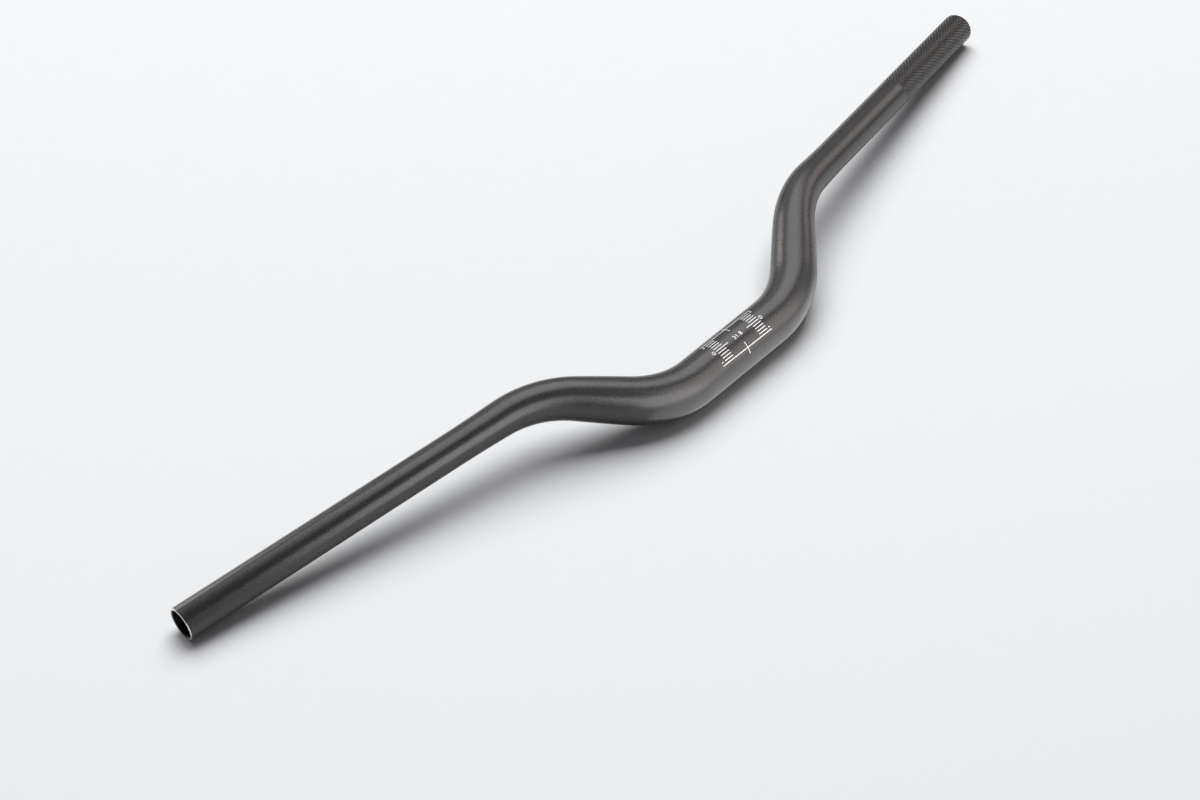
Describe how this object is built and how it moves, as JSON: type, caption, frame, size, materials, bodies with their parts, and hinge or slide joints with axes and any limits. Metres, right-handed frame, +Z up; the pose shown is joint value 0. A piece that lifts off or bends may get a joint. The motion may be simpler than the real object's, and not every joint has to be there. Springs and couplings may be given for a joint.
{
  "type": "riser handlebar",
  "caption": "Bicycle riser handlebar: one butted aluminium tube, thick at the stem clamp, bent up and back, tapering to straight open-ended grip lengths.",
  "frame": {"origin": "centre of the straight middle that the stem clamps, on the tube's axis", "axes": "+X along the bar, towards the end with the knurled band; +Y the way the grip lengths lie, seen from the clamp; +Z up, with the bar lying at rest on the clamp and both ends"},
  "size_m": [0.7998, 0.131, 0.0494],
  "materials": {
    "anodised_tube": "satin",
    "bare_rim": "satin",
    "scale_print": "matte"
  },
  "bodies": {
    "root": {"handlebar_tube": "anodised_tube"}
  },
  "joints": []
}
